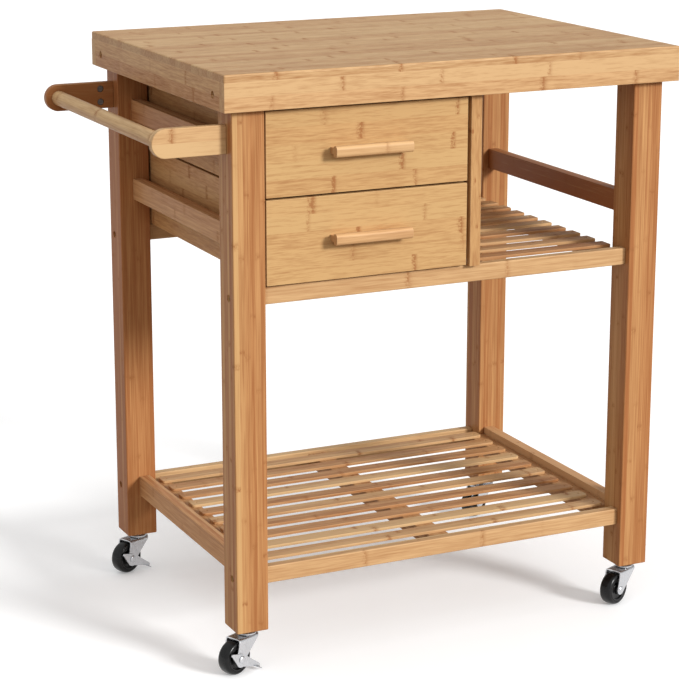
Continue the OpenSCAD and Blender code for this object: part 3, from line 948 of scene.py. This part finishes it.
def stems():
    """Each stem with its ball race, and the foot that is riveted under the plate."""
    shape = bmesh.new()
    for corner in CORNERS:
        foot, _ = caster_places(corner)
        low = PLATE_TOP + PLAY
        turned(shape, foot, [
            (STEM_R, low), (RACE_R - 1.5 * MM, low), (RACE_R, low + 0.8 * MM),
            (RACE_R, low + 2.4 * MM), (RACE_R - 0.8 * MM, low + 3.4 * MM),
            (RACE_R - 2.4 * MM, low + 4.4 * MM), (RACE_R - 2.8 * MM, low + 6.0 * MM),
            (RACE_R - 2.0 * MM, RACE_TOP - 0.8 * MM), (RACE_R - 1.2 * MM, RACE_TOP),
            (STEM_R, RACE_TOP), (STEM_R, STEM_TOP - 1.0 * MM),
            (STEM_R - 1.0 * MM, STEM_TOP)])
        plate_foot = PLATE_TOP - PLATE_DEEP - PLAY
        turned(shape, foot, [
            (2.5 * MM, plate_foot - 2.0 * MM), (5.5 * MM, plate_foot - 1.7 * MM),
            (7.2 * MM, plate_foot - 0.9 * MM), (7.5 * MM, plate_foot)])
    metal_piece("caster_stems_turned", shape, "zinc", "caster_stems")


def plate_back(y):
    """x of the round back of the swivel plate."""
    return -math.sqrt(PLATE_R ** 2 - y ** 2)


def cheek_edge(top, axle_at, height, side):
    """x of a cheek's edge at a height: straight down from top, then round the axle.
    side is -1 for the edge on the stem's side of the axle and 1 for the one beyond it."""
    gap = top - axle_at
    turn = math.atan2(gap.y, gap.x) - side * math.acos(BOSS_R / gap.length)
    touch = axle_at + BOSS_R * Vector((math.cos(turn), math.sin(turn)))
    if height >= touch.y:
        share = (height - touch.y) / (top.y - touch.y)
        return touch.x + (top.x - touch.x) * share
    rise = height - axle_at.y
    return axle_at.x + side * math.sqrt(max(BOSS_R ** 2 - rise ** 2, 0.0))


def fork_rows(axle_at):
    """Rows of the pressed sheet, from the foot of one cheek over the plate to the foot
    of the other: middle of the sheet (y, z), its outward direction, back x, front x."""
    front = axle_at.x + PLATE_LEAD
    bend_top = PLATE_TOP - SHEET / 2
    bend_low = bend_top - BEND_R
    back_top = Vector((plate_back(CHEEK_Y), bend_low))
    front_top = Vector((front, bend_low))
    heights = [axle_at.y - BOSS_R * math.cos(math.pi * k / (ROUND_ROWS - 1))
               for k in range(ROUND_ROWS)]
    high = heights[-1]
    heights += [high + (bend_low - high) * k / STRAIGHT_ROWS
                for k in range(1, STRAIGHT_ROWS + 1)]
    half = [((CHEEK_Y, z), (1.0, 0.0), cheek_edge(back_top, axle_at, z, -1),
             cheek_edge(front_top, axle_at, z, 1)) for z in heights]
    for k in range(1, BEND_ROWS + 1):
        turn = math.pi / 2 * k / BEND_ROWS
        out = (math.cos(turn), math.sin(turn))
        y = CHEEK_Y - BEND_R * (1 - out[0])
        half.append(((y, bend_low + BEND_R * out[1]), out, plate_back(y), front))
    edge_y = CHEEK_Y - BEND_R
    for k in range(1, PLATE_ROWS + 1):
        y = edge_y * (1 - k / PLATE_ROWS)
        half.append(((y, bend_top), (0.0, 1.0), plate_back(y), front))
    mirror = [((-y, z), (-out[0], out[1]), back, front)
              for (y, z), out, back, front in reversed(half[:-1])]
    return half + mirror


def fork(corner):
    """One sheet, pressed into a round-backed plate over two cheeks."""
    foot, hub = caster_places(corner)
    trail = (hub.translation - foot.translation).to_2d().length
    axle_at = Vector((trail, hub.translation.z))
    shape = bmesh.new()
    sheets = []
    for side in (SHEET / 2, -SHEET / 2):
        grid = []
        for (y, z), out, back, front in fork_rows(axle_at):
            xs = [back + (front - back) * k / (COLUMNS - 1) for k in range(COLUMNS)]
            grid.append([shape.verts.new((x, y + side * out[0], z + side * out[1]))
                         for x in xs])
        for low, high in zip(grid, grid[1:]):
            for k in range(COLUMNS - 1):
                shape.faces.new((low[k], low[k + 1], high[k + 1], high[k]))
        sheets.append(grid)
    # The sheet's thickness, along its back edge and its front edge
    for k in (0, -1):
        outer, inner = ([row[k] for row in grid] for grid in sheets)
        for corners in zip(outer, outer[1:], inner[1:], inner):
            shape.faces.new(corners)
    bmesh.ops.remove_doubles(shape, verts=shape.verts, dist=WELD)
    bmesh.ops.recalc_face_normals(shape, faces=shape.faces)
    round_edges(shape, sharp_edges(shape), FORK_EASE, 2, True)
    bmesh.ops.transform(shape, matrix=foot, verts=shape.verts)
    metal_piece("fork_" + corner + "_pressed", shape, "zinc", "fork_" + corner)


def wheel(corner):
    """The wheel. Half of its section goes from the bore over the hub, the dished side
    and the rim to the tread."""
    _, hub = caster_places(corner)
    half = [(AXLE_R + 0.1 * MM, 11.0 * MM), (7.2 * MM, 11.0 * MM), (8.0 * MM, 10.4 * MM),
            (8.4 * MM, 7.4 * MM), (9.2 * MM, 6.8 * MM), (14.2 * MM, 6.8 * MM),
            (15.2 * MM, 7.2 * MM), (15.8 * MM, 9.2 * MM), (16.6 * MM, 9.9 * MM),
            (18.6 * MM, WHEEL_HALF), (19.0 * MM, 9.4 * MM), (19.8 * MM, 9.4 * MM),
            (20.2 * MM, WHEEL_HALF), (21.6 * MM, 9.8 * MM), (23.2 * MM, 8.9 * MM),
            (24.3 * MM, 7.2 * MM), (24.8 * MM, 4.8 * MM), (WHEEL_R, 1.6 * MM)]
    shape = bmesh.new()
    turned(shape, along_axle(hub), mirrored(half), closed=True)
    metal_piece("wheel_" + corner + "_moulded", shape, "wheels", "wheel_" + corner)


def axle(corner):
    """The rivet. The CAD box, seen along the axle, says how far each head stands out."""
    node = "axle_" + corner
    _, hub = caster_places(corner)
    place = along_axle(hub)
    back = place.inverted()
    reach = [(back @ v.co).z for v in frame["nodes"][node].data.vertices]
    low, high = min(reach), max(reach)
    half = [(2.2 * MM, 0.0), (4.0 * MM, 0.35 * MM), (5.1 * MM, 1.0 * MM),
            (RIVET_R, 1.6 * MM), (RIVET_R, RIVET_HEAD), (AXLE_R, RIVET_HEAD)]
    shape = bmesh.new()
    turned(shape, place, [(r, low + h) for r, h in half]
           + [(r, high - h) for r, h in reversed(half)])
    metal_piece(node + "_riveted", shape, "zinc", node)


# The brake lever lies along local x, from the toe past the axle to the tail
LEVER_TILT = math.radians(31)
LEVER_Y = 14.3 * MM
LEVER_T = 1.6 * MM
TOE = -41.0 * MM
TOE_LOW = -2.0 * MM
TAIL = 20.5 * MM
TAIL_R = 2.2 * MM
BELLY = (-0.5 * MM, -1.5 * MM)
BELLY_R = 10.0 * MM
PEDAL_OUT = 7.0 * MM
PEDAL_LONG = 8.0 * MM
PEDAL_LIP = 0.8 * MM
PEDAL_ROOT = 1.2 * MM


def arc(centre, radius, start, stop, steps):
    """Points round a centre, from one angle in degrees to another."""
    for k in range(steps + 1):
        angle = math.radians(start + (stop - start) * k / steps)
        yield (centre[0] + radius * math.cos(angle), centre[1] + radius * math.sin(angle))


def extruded(shape, place, points, along, low, high):
    """A prism: points are the two coordinates other than along, in x, y, z order."""
    ends = []
    for value in (low, high):
        ring = []
        for a, b in points:
            co = [a, b]
            co.insert(AXIS[along], value)
            ring.append(shape.verts.new(place @ Vector(co)))
        ends.append(ring)
    count = len(points)
    shape.faces.new(ends[0])
    shape.faces.new(ends[1][::-1])
    for k in range(count):
        j = (k + 1) % count
        shape.faces.new((ends[0][j], ends[0][k], ends[1][k], ends[1][j]))


def lever(corner):
    """A pressed lever: a belly round the axle, a tail, and a toe bent outward as a pedal."""
    _, hub = caster_places(corner)
    place = hub @ Matrix.Rotation(-LEVER_TILT, 4, "Y")
    shape = bmesh.new()
    side = list(arc(BELLY, BELLY_R, 225, 300, 12))
    side += list(arc((TAIL, 0.0), TAIL_R, -60, 75, 8))
    side += list(arc((0.0, 0.0), BOSS_R, 70, 97, 5))
    side += [(TOE + 3.0 * MM, 4.6 * MM), (TOE, 3.2 * MM), (TOE, TOE_LOW),
             (TOE + 9.0 * MM, TOE_LOW)]
    extruded(shape, place, side, "Y", LEVER_Y, LEVER_Y + LEVER_T)
    middle, face = LEVER_Y + LEVER_T / 2, LEVER_Y + LEVER_T
    tip, top = LEVER_Y + PEDAL_OUT, TOE_LOW + LEVER_T
    pedal = [(middle, TOE_LOW), (tip - PEDAL_LIP, TOE_LOW), (tip, TOE_LOW + PEDAL_LIP),
             (tip - 0.5 * MM, top), (face + PEDAL_ROOT, top), (face, top + PEDAL_ROOT),
             (middle, top + PEDAL_ROOT)]
    extruded(shape, place, pedal, "X", TOE, TOE + PEDAL_LONG)
    round_edges(shape, sharp_edges(shape), LEVER_EASE, 2, True)
    metal_piece("brake_" + corner + "_pressed", shape, "zinc", "brake_" + corner)


def casters():
    stems()
    for corner in CORNERS:
        fork(corner)
        wheel(corner)
        axle(corner)
    for corner in CORNERS:
        if "lever_" + corner in frame["bodies"]:
            lever(corner)


# ---- Studio ----

FLOOR_REACH = 30.0
FLOOR_SQUARES = 8
FLOOR_GLOW = 0.17
FLOOR_MOTTLE = 3.0
FLOOR_GREY = colour(0.9, 0.9, 0.9)
FLOOR_PALE = colour(0.93, 0.93, 0.93)

# The sky's strength, what it gains straight up and towards SKY_TO, and the heights on
# the unit sphere between which it turns into the ground
SKY_LEVEL = 0.7
SKY_RISE = 0.1
SKY_TURN = 0.2
SKY_TO = Vector((-0.75, -0.65, 0.0))
HORIZON = (-0.25, 0.05)
GROUND_SHARE = 0.45
GROUND_TINT = colour(1.0, 0.78, 0.6)

KEY = 3.2
KEY_FROM = Vector((0.45, -0.8, 0.35))
KEY_SOFT = math.radians(14)

# Millimetres on a sensor 36 mm wide, and shares of its width
LENS = 114.5
SHIFT_UP = -0.05
CAMERA_AT = (-1.409, -2.9425, 1.269)
CAMERA_DOWN = 14.18
CAMERA_RIGHT = 25.27
VIEW_END = 100.0


def floor():
    g = Finish("pale_floor")
    paint = g.mix(g.noise(g.place(), FLOOR_MOTTLE, 3.0), FLOOR_GREY, FLOOR_PALE)
    g.principled(Base_Color=paint, Roughness=0.9, Specular_IOR_Level=0.1,
                 Emission_Color=WHITE, Emission_Strength=FLOOR_GLOW)
    shape = bmesh.new()
    bmesh.ops.create_grid(shape, x_segments=FLOOR_SQUARES, y_segments=FLOOR_SQUARES,
                          size=FLOOR_REACH)
    mesh = bpy.data.meshes.new("floor")
    shape.to_mesh(mesh)
    shape.free()
    mesh.materials.append(g.owner)
    made = into_scene("floor", mesh)
    made.visible_diffuse = False


def sky():
    """A white studio, a little brighter overhead and to the front left. Below the floor's
    level it is dim and warm, and stands for what the floor throws back."""
    world = bpy.data.worlds.new("studio")
    g = Graph(world)
    way = g.node("TexCoord").outputs["Generated"]
    height = g.split(way)["Z"]
    lean = g.node("VectorMath", {0: way, 1: SKY_TURN * SKY_TO + SKY_RISE * UP},
                  operation="DOT_PRODUCT").outputs["Value"]
    share = g.ramp(height, *HORIZON, GROUND_SHARE, 1.0)
    above = g.ramp(height, *HORIZON, 0.0, 1.0)
    back = g.tree.nodes["Background"]
    g.set(back.inputs["Color"], g.mix(above, GROUND_TINT, WHITE))
    g.set(back.inputs["Strength"], g.times(g.add(lean, SKY_LEVEL), share))
    bpy.context.scene.world = world


def key_light():
    lamp = bpy.data.lights.new("key", "SUN")
    lamp.energy = KEY
    lamp.angle = KEY_SOFT
    key = into_scene("key", lamp)
    key.rotation_euler = KEY_FROM.to_track_quat("Z", "Y").to_euler()


def camera():
    data = bpy.data.cameras.new("camera")
    data.lens = LENS
    data.shift_y = SHIFT_UP
    data.clip_end = VIEW_END
    made = into_scene("camera", data)
    made.location = CAMERA_AT
    made.rotation_euler = (math.radians(90 - CAMERA_DOWN), 0.0, math.radians(-CAMERA_RIGHT))
    bpy.context.scene.camera = made


camera()
floor()
sky()
key_light()
worktop()
legs()
rails()
shelves()
drawers()
towel_bar()
fasteners()
casters()
bpy.context.scene.view_settings.view_transform = "Standard"
